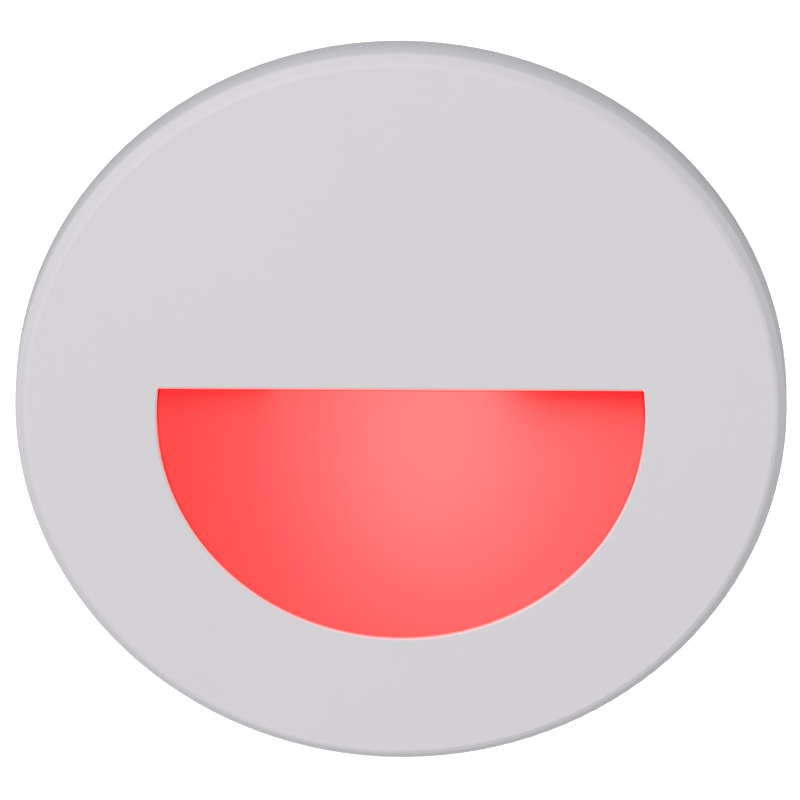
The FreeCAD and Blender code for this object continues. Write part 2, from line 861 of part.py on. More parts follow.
def driver_board():
    """Round circuit board with holes for its screws and the two leads."""
    board = cylinder(driver_radius, driver_front_y, driver_back_y)
    for x, z in pillar_places():
        board = board.cut(cylinder(m25_clear / 2, driver_front_y - 1, driver_back_y + 1, x, z))
    for x in lead_columns():
        board = board.cut(cylinder(lead_diameter / 4, driver_front_y - 1, driver_back_y + 1, x, grommet_z))
    return board


def driver_screws():
    """Screws from the back through the driver board into the pillars."""
    screws = [
        aim(pan_screw(m25, m25_head, m25_head_height, driver_screw_length), V(x, driver_back_y, z), -Y_AXIS)
        for x, z in pillar_places()
    ]
    return Part.makeCompound(screws)


def smoothing_capacitor():
    """Electrolytic can that lies on the board, with its rolled neck."""
    waist = can_radius - can_neck
    crimp = can_length - 3 * can_neck
    profile = [
        (0, 0), (can_radius, 0), (can_radius, crimp - 3 * can_neck), (waist, crimp - 2 * can_neck),
        (waist, crimp - can_neck), (can_radius, crimp), (can_radius, can_length), (0, can_length),
    ]
    return aim(turned(profile), V(can_x - can_length / 2, driver_back_y + can_radius, can_z), X_AXIS)


def choke_core():
    """Ferrite drum that stands on the board."""
    drum = cylinder(coil_radius, driver_back_y, driver_back_y + coil_height, coil_x, coil_z)
    return drum.cut(coil_sleeve(coil_radius + 1))


def coil_sleeve(outer):
    """A sleeve round the drum's core, between its rims."""
    y0, y1 = driver_back_y + coil_rim, driver_back_y + coil_height - coil_rim
    return ring(outer, coil_radius / 2, y0, y1, coil_x, coil_z)


def choke_winding():
    """Copper winding on the drum, as one wound sleeve."""
    return coil_sleeve(coil_radius - coil_rim / 2)


def on_board(size, x, z):
    """A chip-like block on the back of the driver board."""
    width, depth, height = size
    return slab(width, depth, height, x, driver_back_y, z)


def legged(size, x, z, leg, columns):
    """A block on the board with a row of legs along each side."""
    body = on_board(size, x, z)
    for column in columns:
        for side in (-1, 1):
            body = body.fuse(on_board(leg, x + column, z + side * (size[2] + leg[2]) / 2))
    return body


def bridge_rectifier():
    """Moulded rectifier with a polarity notch and four legs."""
    width, depth, height = rectifier_size
    body = legged(rectifier_size, rectifier_x, rectifier_z, rectifier_leg, (-width / 4, width / 4))
    notch = height / 8
    x, z = rectifier_x - width / 2, rectifier_z + height / 2
    return body.cut(slab(2 * notch, depth, 2 * notch, x, driver_back_y + depth / 2, z))


def driver_chip():
    """Small driver circuit with a row of legs on each side and a dot at its first leg."""
    width, depth, height = chip_size
    columns = [(i - (chip_leg_count - 1) / 2) * chip_leg_pitch for i in range(chip_leg_count)]
    body = legged(chip_size, chip_x, chip_z, chip_leg, columns)
    x, z = chip_x - width / 2 + chip_dot_inset, chip_z - height / 2 + chip_dot_inset
    top = driver_back_y + depth
    return body.cut(cylinder(chip_dot_radius, top - chip_dot_radius / 2, top + 1, x, z))


def chip_resistors():
    """A row of chip resistors."""
    solids = [
        on_board(resistor_size, resistor_x, resistor_z + i * resistor_pitch) for i in range(resistor_count)
    ]
    return Part.makeCompound(solids)


def flyback_diode():
    """Diode beside the choke."""
    return on_board(diode_size, diode_x, diode_z)


def terminal_places():
    """X of the two clamps in the terminal block."""
    return (-block_size[0] / 4, block_size[0] / 4)


def terminal_block():
    """Two-way terminal block: wires enter from the middle of the board, screws are at the back."""
    depth, height = block_size[1:]
    body = on_board(block_size, 0, block_z)
    for x in terminal_places():
        mouth = V(x, driver_back_y + depth / 3, block_z + height / 2)
        body = body.cut(Part.makeCylinder(block_wire_hole / 2, height * 2 / 3, mouth, -Z_AXIS))
        body = body.cut(cylinder(block_screw / 2 + fit_gap, terminal_seat_y(), cover_back_y, x, block_z))
    return body


def terminal_seat_y():
    """Where the clamp screws start in the terminal block."""
    return driver_back_y + block_size[1] / 2


def terminal_screws():
    """Slotted clamp screws in the terminal block."""
    top = driver_back_y + block_size[1] - block_slot
    solids = []
    for x in terminal_places():
        screw = cylinder(block_screw / 2, terminal_seat_y(), top, x, block_z)
        solids.append(screw.cut(slab(block_screw, block_slot, block_slot, x, top - block_slot, block_z)))
    return Part.makeCompound(solids)


# ---- rear cover and gland ----


def cover_outline(y0, y1):
    """The rear end's outline: a disc with four lugs."""
    body = cylinder(rear_radius, y0, y1)
    return body.fuse([cylinder(lug_radius, y0, y1, x, z) for x, z in lug_places()])


def with_cover_holes(plate, y0, y1):
    """Cuts the four screw holes of the rear cover."""
    for x, z in lug_places():
        plate = plate.cut(cylinder(m3_clear / 2, y0 - 1, y1 + 1, x, z))
    return plate


def rear_cover():
    """Cast cover with a locating spigot and the hole for the cable gland."""
    spigot_y = rear_end_y - spigot_depth
    cover = cover_outline(cover_front_y, cover_back_y)
    outer = rear_bore - fit_gap
    cover = cover.fuse(ring(outer, outer - spigot_wall, spigot_y, cover_front_y))
    cover = with_cover_holes(cover, spigot_y, cover_back_y)
    return cover.cut(cylinder(gland_thread / 2 + fit_gap / 2, spigot_y, cover_back_y + 1, 0, gland_z))


def rear_cover_gasket():
    """Flat silicone gasket under the rear cover."""
    gasket = cover_outline(rear_end_y, cover_front_y)
    gasket = gasket.cut(cylinder(rear_bore, rear_end_y - 1, cover_front_y + 1))
    return with_cover_holes(gasket, rear_end_y, cover_front_y)


def rear_cover_screws():
    """Four pan-head screws in the rear cover."""
    screws = [
        aim(pan_screw(m3, m3_head, m3_head_height, cover_screw_length), V(x, cover_back_y, z), -Y_AXIS)
        for x, z in lug_places()
    ]
    return Part.makeCompound(screws)


def gland_body():
    """Cable gland body: threaded stub, hexagon and slotted claws round the rubber bush."""
    stub_y = cover_front_y - gland_locknut - gland_spare
    body = cylinder(gland_thread / 2, stub_y, gland_hex_y, 0, gland_z)
    body = body.fuse(hexagon(gland_flats, gland_hex_y, gland_claw_y, 0, gland_z))
    claw_end = gland_claw_y + gland_claw_length
    body = body.fuse(cylinder(gland_claw_outer / 2, gland_claw_y, claw_end, 0, gland_z))
    seat = gland_bush_outer / 2 + fit_gap / 2
    body = body.cut(cylinder(seat, claw_end - gland_bush_length, claw_end + 1, 0, gland_z))
    body = body.cut(cylinder(gland_cable / 2 + fit_gap, stub_y - 1, claw_end, 0, gland_z))
    for i in range(gland_claw_count):
        angle = (i + 0.5) * 360 / gland_claw_count
        half = gland_claw_slot / 2
        slot = block(seat - 1, gland_claw_outer, gland_claw_y + gland_claw_root, claw_end + 1, -half, half)
        slot.rotate(V(0, 0, 0), Y_AXIS, angle)
        body = body.cut(slot.translated(V(0, 0, gland_z)))
    return body


def gland_bush():
    """Rubber bush that closes round the cable."""
    end = gland_claw_y + gland_claw_length
    return ring(gland_bush_outer / 2, gland_cable / 2, end - gland_bush_length, end, 0, gland_z)


def gland_seal_washer():
    """Rubber washer between the gland and the cover."""
    return ring(gland_flats / 2, gland_thread / 2 + fit_gap / 2, cover_back_y, gland_hex_y, 0, gland_z)


def gland_lock_nut():
    """Thin nut inside the rear cover."""
    nut = hexagon(gland_flats, cover_front_y - gland_locknut, cover_front_y, 0, gland_z)
    bore = gland_thread / 2 + fit_gap / 4
    return nut.cut(cylinder(bore, cover_front_y - gland_locknut - 1, cover_front_y + 1, 0, gland_z))


def gland_nut():
    """Domed clamping nut: hexagon at the front, a cone to the cable mouth."""
    start = gland_claw_y + fit_gap
    end = start + nut_length
    reach = gland_flats / math.sqrt(3)
    envelope = turned(
        [(0, start), (reach, start), (reach, start + nut_shoulder), (nut_mouth / 2 + nut_rim, end), (0, end)]
    ).translated(V(0, 0, gland_z))
    nut = hexagon(gland_flats, start, end, 0, gland_z).common(envelope)
    inside = gland_claw_outer / 2 + fit_gap
    claw_end = gland_claw_y + gland_claw_length + fit_gap
    nut = nut.cut(cylinder(inside, start - 1, claw_end, 0, gland_z))
    return nut.cut(cylinder(nut_mouth / 2, start, end + 1, 0, gland_z))


# ---- spring clips ----


def arm_frame():
    """The arm's direction and its outer side at rest, on the right."""
    lean = math.radians(arm_rest_angle)
    along = V(math.sin(lean), math.cos(lean), 0)
    outward = V(math.cos(lean), -math.sin(lean), 0)
    return along, outward


def arm_point(distance, offset, z=0.0):
    """A place on the arm at rest, from its distance along the arm and its offset to the outer side."""
    along, outward = arm_frame()
    return V(pivot_x, pivot_y, z) + along * distance + outward * offset


def arm_prism(outline, z0, z1):
    """A plate of the arm from (distance, offset) corners."""
    corners = [arm_point(distance, offset, z0) for distance, offset in outline]
    return Part.Face(Part.makePolygon(corners + corners[:1])).extrude(V(0, 0, z1 - z0))


def strip_offset(distance):
    """Offset of the middle of the arm's strip at a distance from the pivot."""
    return arm_root_offset + (arm_tip_offset - arm_root_offset) * distance / arm_length


def clip_arm(side):
    """Pressed steel arm: a strip with two ears that turn on the pin."""
    half = arm_sheet / 2
    start = -arm_heel
    strip = arm_prism(
        [
            (start, strip_offset(start) - half), (arm_length, strip_offset(arm_length) - half),
            (arm_length, strip_offset(arm_length) + half), (start, strip_offset(start) + half),
        ],
        -arm_half_width, arm_half_width,
    )
    arm = strip
    for z0 in (-arm_half_width, arm_half_width - arm_sheet):
        ear = arm_prism(
            [
                (start, 0), (start, strip_offset(start)), (arm_ear_length, strip_offset(arm_ear_length)),
                (arm_ear_radius * 0.8, -arm_ear_radius * 0.6), (0, -arm_ear_radius * 0.6),
            ],
            z0, z0 + arm_sheet,
        )
        eye = Part.makeCylinder(arm_ear_radius, arm_sheet, V(pivot_x, pivot_y, z0), Z_AXIS)
        arm = arm.fuse([ear, eye])
    hole = pin_diameter / 2 + pin_running
    reach = 4 * arm_half_width
    arm = arm.cut(Part.makeCylinder(hole, reach, V(pivot_x, pivot_y, -reach / 2), Z_AXIS))
    return mirrored(arm, side)


def clip_tip(side):
    """Soft sleeve over the end of the arm."""
    start = arm_length - tip_length
    end = arm_length + tip_thickness / 3
    half = tip_thickness / 2
    wide = arm_half_width + tip_side
    nose = tip_thickness / 4
    sleeve = arm_prism(
        [
            (start, strip_offset(start) - half), (end - nose, strip_offset(end) - half),
            (end, strip_offset(end) - half + nose), (end, strip_offset(end) + half - nose),
            (end - nose, strip_offset(end) + half), (start, strip_offset(start) + half),
        ],
        -wide, wide,
    )
    inner = arm_sheet / 2 + tip_fit
    mouth, bottom = start - 1, arm_length + tip_fit
    pocket = arm_prism(
        [
            (mouth, strip_offset(mouth) - inner), (bottom, strip_offset(arm_length) - inner),
            (bottom, strip_offset(arm_length) + inner), (mouth, strip_offset(mouth) + inner),
        ],
        -arm_half_width - tip_fit, arm_half_width + tip_fit,
    )
    return mirrored(sleeve.cut(pocket), side)


def clip_bracket(side):
    """Pressed steel saddle in the pocket, with two ears that hold the pin."""
    base = block(
        pocket_floor, pocket_floor + sheet, bracket_front_y, bracket_back_y,
        -bracket_half_width, bracket_half_width,
    )
    hole = Part.makeCylinder(m25_clear / 2, sheet + 2, V(pocket_floor - 1, bracket_screw_y, 0), X_AXIS)
    bracket = base.cut(hole)
    for z0 in (-bracket_half_width, bracket_half_width - sheet):
        plate = block(
            pocket_floor, pivot_x, pivot_y - bracket_ear_radius, pivot_y + bracket_ear_radius, z0, z0 + sheet
        )
        eye = Part.makeCylinder(bracket_ear_radius, sheet, V(pivot_x, pivot_y, z0), Z_AXIS)
        bracket = bracket.fuse([plate, eye])
    seat = pin_diameter / 2 + pin_fit
    reach = 4 * bracket_half_width
    bracket = bracket.cut(Part.makeCylinder(seat, reach, V(pivot_x, pivot_y, -reach / 2), Z_AXIS))
    return mirrored(bracket, side)


def clip_pin(side):
    """Headed pivot pin."""
    half = bracket_half_width + pin_head_thickness
    pin = Part.makeCylinder(pin_diameter / 2, 2 * half, V(pivot_x, pivot_y, -half), Z_AXIS)
    head = Part.makeCylinder(
        pin_head / 2, pin_head_thickness, V(pivot_x, pivot_y, bracket_half_width), Z_AXIS
    )
    return mirrored(pin.fuse(head), side)


def bracket_screws():
    """One screw in each bracket, into the boss in the pocket's floor."""
    screws = []
    for side in (1, -1):
        screw = pan_screw(m25, m25_head, m25_head_height, bracket_screw_length)
        screw = aim(screw, V(pocket_floor + sheet, bracket_screw_y, 0), -X_AXIS)
        screws.append(mirrored(screw, side))
    return Part.makeCompound(screws)


def clip_spring(side):
    """Torsion spring round the pin: its foot lies on the bracket and its toe under the arm.

    The coil is a helix about Z. It starts where the foot meets it, on the side of the pocket's floor, and
    ends where the toe leaves it along the arm.
    """
    drop = pivot_x - spring_radius - pocket_floor - sheet - spring_wire / 2 - fit_gap
    foot_lean = math.asin(drop / spring_foot)
    along, outward = arm_frame()
    toe_lean = math.atan2(arm_root_offset - arm_tip_offset, arm_length)
    last_radius = outward * math.cos(toe_lean) + along * math.sin(toe_lean)
    start_angle = math.pi + foot_lean
    last_angle = math.atan2(last_radius.y, last_radius.x)
    sweep = (last_angle - start_angle) % (2 * math.pi) + 2 * math.pi * spring_turns
    climb = spring_pitch / (2 * math.pi)

    def on_coil(share):
        angle = start_angle + sweep * share
        x = pivot_x + spring_radius * math.cos(angle)
        y = pivot_y + spring_radius * math.sin(angle)
        return V(x, y, sweep * climb * (0.5 - share))

    quarter_turns = round(sweep / (math.pi / 2))
    edges = []
    for i in range(quarter_turns):
        places = [on_coil((i + part) / quarter_turns) for part in (0, 0.5, 1)]
        edges.append(Part.Arc(*places).toShape())
    into = edges[0].tangentAt(edges[0].FirstParameter)
    out = edges[-1].tangentAt(edges[-1].LastParameter)
    foot = on_coil(0) - into * spring_foot
    toe = on_coil(1) + out * spring_toe
    edges.insert(0, Part.LineSegment(foot, on_coil(0)).toShape())
    edges.append(Part.LineSegment(on_coil(1), toe).toShape())
    path = Part.Wire(edges)
    spring = swept(path, Part.makeCircle(spring_wire / 2, foot, into))
    expected = math.pi * (spring_wire / 2) ** 2 * path.Length
    print(f"spring: volume share {spring.Volume / expected:.4f}, gap {coil_gap(edges):.2f}")
    return mirrored(spring, side)


def coil_gap(edges):
    """Least clear space between turns, measured on points along the wire."""
    step = spring_wire / 3
    places = []
    for edge in edges:
        places += edge.discretize(math.ceil(edge.Length / step) + 1)[1:]
    skip = round(2 * math.pi * spring_radius / step / 2)
    nearest = min((a - b).Length for i, a in enumerate(places) for b in places[i + skip:])
    return nearest - spring_wire


def sub_parts():
    """Every node and the function that makes it."""
    parts = {
        "trim_plate": trim_plate,
        "window_lens": window_lens,
        "lens_gasket": lens_gasket,
        "wall_gasket": wall_gasket,
        "light_chamber": light_chamber,
        "housing_oring": housing_oring,
        "trim_screws": trim_screws,
        "housing": housing,
        "body_gasket": body_gasket,
        "body_screws": body_screws,
        "driver_housing": driver_housing,
        "thermal_pad": thermal_pad,
        "led_board": led_board,
        "led_packages": led_packages,
        "led_fills": led_fills,
        "board_plug": board_plug,
        "board_screws": board_screws_group,
        "wire_grommet": wire_grommet,
        "positive_lead": lambda: lead(lead_columns()[1]),
        "negative_lead": lambda: lead(lead_columns()[0]),
        "board_pillars": board_pillars,
        "driver_board": driver_board,
        "driver_screws": driver_screws,
        "smoothing_capacitor": smoothing_capacitor,
        "choke_core": choke_core,
        "choke_winding": choke_winding,
        "bridge_rectifier": bridge_rectifier,
        "driver_chip": driver_chip,
        "chip_resistors": chip_resistors,
        "flyback_diode": flyback_diode,
        "terminal_block": terminal_block,
        "terminal_screws": terminal_screws,
        "rear_cover": rear_cover,
        "rear_cover_gasket": rear_cover_gasket,
        "rear_cover_screws": rear_cover_screws,
        "gland_body": gland_body,
        "gland_bush": gland_bush,
        "gland_seal_washer": gland_seal_washer,
        "gland_lock_nut": gland_lock_nut,
        "gland_nut": gland_nut,
        "bracket_screws": bracket_screws,
    }
    for name, side in (("right", 1), ("left", -1)):
        parts[f"clip_bracket_{name}"] = lambda side=side: clip_bracket(side)
        parts[f"clip_pin_{name}"] = lambda side=side: clip_pin(side)
        parts[f"clip_spring_{name}"] = lambda side=side: clip_spring(side)
        parts[f"clip_arm_{name}"] = lambda side=side: clip_arm(side)
        parts[f"clip_tip_{name}"] = lambda side=side: clip_tip(side)
    return parts


def main():
    """Builds each sub-part and writes it as a STEP file."""
    os.makedirs("parts", exist_ok=True)
    for name, make in sub_parts().items():
        shape = make()
        solids = shape.Solids
        good = all(s.isValid() and s.isClosed() and s.Volume > 0 for s in solids)
        volume = sum(s.Volume for s in solids)
        print(f"{name}: {len(solids)} solid(s), {volume:.2f} mm3{'' if good else '  NOT VALID'}")
        shape.exportStep(f"parts/{name}.step")


main()
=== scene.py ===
"""Round step light with a lit half-moon window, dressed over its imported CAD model.

The file follows the light from its front to its back: the trim disc, the lens, the seals, the cast housing,
what sits inside it, the rear cover, the cable gland and the two spring clips, and last the studio.
"""

import math

import bpy
import numpy as np
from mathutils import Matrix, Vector


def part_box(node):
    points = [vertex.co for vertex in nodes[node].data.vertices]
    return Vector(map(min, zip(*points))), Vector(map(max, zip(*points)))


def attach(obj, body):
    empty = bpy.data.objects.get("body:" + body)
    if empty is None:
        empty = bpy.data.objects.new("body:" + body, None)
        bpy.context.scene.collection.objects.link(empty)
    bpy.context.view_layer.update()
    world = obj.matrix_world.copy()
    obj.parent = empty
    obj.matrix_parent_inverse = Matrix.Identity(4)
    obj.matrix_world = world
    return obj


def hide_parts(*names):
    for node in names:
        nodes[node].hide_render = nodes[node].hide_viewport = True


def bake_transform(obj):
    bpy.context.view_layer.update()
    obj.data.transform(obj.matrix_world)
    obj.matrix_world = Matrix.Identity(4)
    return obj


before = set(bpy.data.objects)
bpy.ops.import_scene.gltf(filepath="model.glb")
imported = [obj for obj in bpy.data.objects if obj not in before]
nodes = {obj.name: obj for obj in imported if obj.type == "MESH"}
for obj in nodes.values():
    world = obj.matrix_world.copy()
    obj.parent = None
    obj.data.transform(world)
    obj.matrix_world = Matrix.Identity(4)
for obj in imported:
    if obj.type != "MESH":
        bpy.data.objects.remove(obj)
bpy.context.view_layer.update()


# ---- trim disc ----
# The face of the light: an aluminium disc, turned with a soft bevel and powder coated in a satin light
# grey. The coat is smooth to the eye, with a faint orange peel that only shows in grazing light.


class Wire:
    """A value that runs through a material. Arithmetic on it adds Math nodes."""

    def __init__(self, finish, socket):
        self.finish = finish
        self.socket = socket

    def math(self, operation, first, second=0.0):
        sockets = {0: first, 1: second}
        return self.finish.node("ShaderNodeMath", {"operation": operation}, sockets)

    def __add__(self, other):
        return self.math("ADD", self, other)

    def __radd__(self, other):
        return self.math("ADD", other, self)

    def __sub__(self, other):
        return self.math("SUBTRACT", self, other)

    def __rsub__(self, other):
        return self.math("SUBTRACT", other, self)

    def __mul__(self, other):
        return self.math("MULTIPLY", self, other)

    def __rmul__(self, other):
        return self.math("MULTIPLY", other, self)

    def __truediv__(self, other):
        return self.math("DIVIDE", self, other)

    def __rtruediv__(self, other):
        return self.math("DIVIDE", other, self)

    def __pow__(self, other):
        return self.math("POWER", self, other)

    def exp(self):
        return self.math("EXPONENT", self)

    def size(self):
        return self.math("ABSOLUTE", self)

    def above(self, edge, softness):
        """0 below the edge and 1 above it, with a smooth step as wide as the softness."""
        sockets = {"Value": self, "From Min": edge - softness / 2, "From Max": edge + softness / 2}
        return self.finish.node("ShaderNodeMapRange", {"interpolation_type": "SMOOTHSTEP"}, sockets)


class Finish:
    """A material on one principled shader. Its patterns read the piece's own place, in millimetres."""

    def __init__(self, name, colour, roughness, metallic=0.0, coat=0.0, specular=0.5):
        self.material = bpy.data.materials.new(name)
        self.material.use_nodes = True
        self.tree = self.material.node_tree
        self.tree.nodes.clear()
        self.shader = self.tree.nodes.new("ShaderNodeBsdfPrincipled")
        output = self.tree.nodes.new("ShaderNodeOutputMaterial")
        self.tree.links.new(self.shader.outputs[0], output.inputs["Surface"])
        self.material.diffuse_color = (*colour, 1)
        self.set("Base Color", colour)
        self.set("Roughness", roughness)
        self.set("Metallic", metallic)
        self.set("Coat Weight", coat)
        self.set("Specular IOR Level", specular)
        sockets = {"Vector": self.node("ShaderNodeTexCoord", out="Object"), "Scale": 1000.0}
        self.place = self.node("ShaderNodeVectorMath", {"operation": "SCALE"}, sockets)

    def node(self, kind, settings=None, sockets=None, out=0):
        """Makes a node: its settings first, then the values or links of its sockets."""
        made = self.tree.nodes.new(kind)
        for name, value in (settings or {}).items():
            setattr(made, name, value)
        for name, value in (sockets or {}).items():
            self.connect(made.inputs[name], value)
        return Wire(self, made.outputs[out])

    def connect(self, socket, value):
        if isinstance(value, Wire):
            self.tree.links.new(value.socket, socket)
        elif socket.type == "RGBA" and len(value) == 3:
            socket.default_value = (*value, 1)
        else:
            socket.default_value = value

    def set(self, name, value):
        self.connect(self.shader.inputs[name], value)

    def axes(self):
        """The three coordinates of the place."""
        return [self.node("ShaderNodeSeparateXYZ", {}, {0: self.place}, out) for out in ("X", "Y", "Z")]

    def noise(self, per_mm, detail=2.0, stretch=(1, 1, 1)):
        """Noise from 0 to 1 with so many grains to the millimetre, squeezed along each axis by stretch."""
        spread = self.node("ShaderNodeMapping", {}, {"Vector": self.place, "Scale": stretch})
        sockets = {"Vector": spread, "Scale": per_mm, "Detail": detail}
        return self.node("ShaderNodeTexNoise", {}, sockets, "Fac")

    def cells(self, per_mm):
        """Distance to the middle of the nearest cell, with so many cells to the millimetre."""
        return self.node("ShaderNodeTexVoronoi", {}, {"Vector": self.place, "Scale": per_mm}, "Distance")

    def mix(self, share, first, second):
        """A colour between two colours."""
        settings = {"data_type": "RGBA"}
        return self.node("ShaderNodeMix", settings, {0: share, 6: first, 7: second}, 2)

    def relief(self, height, depth_mm, edge_mm=0.0):
        """Bumps of the surface by a height from 0 to 1, on edges that are rounded by edge_mm."""
        sockets = {"Height": height, "Distance": depth_mm / 1000, "Strength": 1.0}
        if edge_mm:
            sockets["Normal"] = self.node("ShaderNodeBevel", {"samples": 6}, {"Radius": edge_mm / 1000})
        self.set("Normal", self.node("ShaderNodeBump", {}, sockets))


def dress(finish, slot, *names):
    """Gives CAD nodes their finish. The slot is not used."""
    for name in names:
        piece = nodes[name]
        piece.data.materials.clear()
        piece.data.materials.append(finish.material)


window_radius, window_centre, window_chord = 28.2, -0.7, 2.75


def window_depth(finish, lowered=0.0, narrowed=0.0):
    """How far a place lies inside the window's outline: the lesser of its depth below the chord and its
    depth inside the circle, so it is below zero on the trim. The chord may be lowered and the circle
    narrowed a little."""
    across, _, height = finish.axes()
    from_centre = (across ** 2 + (height - window_centre) ** 2) ** 0.5
    inside_circle = window_radius - (from_centre + narrowed)
    return from_centre.math("MINIMUM", window_chord - lowered - height, inside_circle)


trim_grey = (0.682, 0.657, 0.677)
powder = Finish("powder_coat", trim_grey, 0.5, specular=0.08)
powder_peel = powder.noise(1.1, 3.0)
powder_cloud = powder.noise(0.05, 2.0)
cloudy_grey = powder.mix(powder_cloud, [0.985 * c for c in trim_grey], [1.015 * c for c in trim_grey])
_, trim_y, _ = powder.axes()
# Towards the rear edge the side wall's colour is darkened: painted shade.
wall_middle, wall_fade, painted_shade_tone = -1.6, 3.8, 0.78
painted_rear_shade = trim_y.above(wall_middle, wall_fade)
powder.set("Base Color", powder.mix(painted_rear_shade, cloudy_grey, [painted_shade_tone * c for c in trim_grey]))
powder.set("Roughness", 0.52 + 0.08 * powder_peel)
powder.relief(powder_peel, 0.006)
# Round the window the trim glows red by emission: painted light spilt from the lens.
chamfer_middle, chamfer_fade = -0.1, 0.3
painted_lens_spill = window_depth(powder).above(chamfer_middle, chamfer_fade)
powder.set("Emission Color", powder.mix(painted_lens_spill, (0, 0, 0), (0.42, 0.03, 0.02)))
powder.set("Emission Strength", 1.0)
dress(powder, "trim_finish", "trim_plate")


# ---- lens ----
# The lit half-moon: a moulded block of frosted red plastic, clamped behind the window. Light from the six
# LEDs glows brightest in the middle and leaves the two top corners darker.

lens_red = Finish("frosted_red_lens", (0.42, 0.014, 0.014), 0.42, specular=0.4)
across, _, height = lens_red.axes()

# The glow is painted into the lens's emission. The spot is a bell round its middle. Each corner darkens from
# the chord down, past its own edge across, as painted shade.
spot_across, spot_height = 2.7, -3.3
spot_width, spot_drop = 13.4, 18.4
left_edge, left_fade, left_shade, left_rate = -15.3, 4.0, 0.139, 0.68
right_edge, right_fade, right_shade, right_rate = 13.5, 9.0, 0.272, 0.45
even_level, spot_level, tilt_level, cloud_level = 0.323, 0.195, 0.00145, 0.012
spot = ((across - spot_across) / spot_width) ** 2 * -0.5 - ((height - spot_height) / spot_drop) ** 2 * 0.5
below_chord = height.math("MAXIMUM", window_chord - height, 0.7)
left_corner = (below_chord * -left_rate).exp() * (1 - across.above(left_edge, left_fade))
right_corner = (below_chord * -right_rate).exp() * across.above(right_edge, right_fade)
glow = even_level + spot_level * spot.exp() + tilt_level * across
glow = glow - left_shade * left_corner - right_shade * right_corner
glow = glow + cloud_level * (lens_red.noise(0.12, 3.0) - 0.5)

# The glow is a share of display brightness, so it goes through the display's curve, less what the lens
# reflects. At the rim a dull red seam of painted shade and then a pale pink line of painted highlight follow
# it.
reflected = 0.045
pale = ((glow + 0.055) / 1.055) ** 2.4 - reflected
inner_glow = lens_red.node("ShaderNodeCombineColor", {}, {"Red": 0.8, "Green": pale, "Blue": pale})
painted_seam_pale = pale * 0.85
painted_seam_shade = lens_red.node("ShaderNodeCombineColor", {}, {"Red": 0.3, "Green": painted_seam_pale, "Blue": painted_seam_pale})
painted_rim_highlight = (1.0, 0.44, 0.42)
seam_depth, rim_depth, rim_fade = 0.12, -0.08, 0.14
from_rim = window_depth(lens_red, lowered=0.27, narrowed=0.003 * across.size())
edge_glow = lens_red.mix(from_rim.above(seam_depth, rim_fade), painted_seam_shade, inner_glow)
lens_red.set("Emission Color", lens_red.mix(from_rim.above(rim_depth, rim_fade), painted_rim_highlight, edge_glow))
lens_red.set("Emission Strength", 1.0)
lens_red.relief(lens_red.noise(6.0, 2.0), 0.004)
dress(lens_red, "lens_red", "window_lens")


# ---- seals of the front ----
# A grey silicone loop under the lens, a closed-cell foam ring that presses on the wall, and a black O-ring
# in its groove between the housing and the trim.

silicone = Finish("grey_silicone", (0.42, 0.42, 0.41), 0.55, specular=0.4)
silicone_bloom = silicone.noise(0.9, 3.0)
silicone.set("Base Color", silicone.mix(silicone_bloom, (0.38, 0.38, 0.37), (0.46, 0.46, 0.45)))
silicone.relief(silicone_bloom, 0.015)
dress(silicone, "silicone", "lens_gasket", "body_gasket", "rear_cover_gasket")

foam = Finish("closed_cell_foam", (0.05, 0.05, 0.052), 0.9, specular=0.2)
foam_cells = foam.cells(2.4)
foam.set("Base Color", foam.mix(foam_cells, (0.035, 0.035, 0.037), (0.085, 0.085, 0.088)))
foam.relief(foam_cells, 0.12, 0.4)
dress(foam, "foam", "wall_gasket")

rubber = Finish("black_rubber", (0.03, 0.03, 0.032), 0.6, specular=0.4)
rubber_bloom = rubber.noise(1.6, 3.0)
rubber.set("Base Color", rubber.mix(rubber_bloom, (0.022, 0.022, 0.024), (0.05, 0.05, 0.052)))
rubber.set("Roughness", 0.5 + 0.2 * rubber_bloom)
rubber.relief(rubber_bloom, 0.02, 0.3)
dress(
    rubber, "black_rubber", "housing_oring", "wire_grommet", "gland_bush", "gland_seal_washer",
    "clip_tip_right", "clip_tip_left",
)


# ---- screws ----
# Stainless screws throughout: countersunk ones into the trim and through the driver housing, pan heads
# elsewhere. Each is cold formed and tumbled, so the metal is even, with fine scratches.

screw_steel = Finish("screw_steel", (0.56, 0.56, 0.57), 0.3, metallic=1.0)
scratches = screw_steel.noise(3.0, 4.0, (1, 0.15, 1))
screw_steel.set("Base Color", screw_steel.mix(scratches, (0.48, 0.48, 0.49), (0.63, 0.63, 0.64)))
screw_steel.set("Roughness", 0.22 + 0.2 * scratches)
screw_steel.relief(scratches, 0.006, 0.1)
dress(
    screw_steel, "stainless", "trim_screws", "body_screws", "board_screws", "driver_screws",
    "terminal_screws", "rear_cover_screws", "bracket_screws",
)


# ---- housing ----
# Two aluminium die castings that screw together: the can behind the trim and the finned driver housing,
# closed by a cast cover. The skin is blasted: a fine grain, with soft edges and slightly uneven tone.

casting = Finish("blasted_casting", (0.42, 0.43, 0.44), 0.55, metallic=1.0)
grain = casting.noise(1.7, 4.0)
flow = casting.noise(0.12, 3.0)
casting.set("Base Color", casting.mix(flow, (0.36, 0.37, 0.38), (0.48, 0.49, 0.50)))
casting.set("Roughness", 0.5 + 0.14 * grain)
casting.relief(grain, 0.06, 0.35)
dress(casting, "die_casting", "housing", "driver_housing", "rear_cover")


# ---- light chamber and light board ----
# A matt white moulded funnel carries the light from the board to the lens. The board is aluminium with a
# white mask; six ceramic packages with wells of clear resin stand on it, and a soft grey-blue pad behind
# it takes the heat to the bulkhead. A nylon connector takes the two leads.

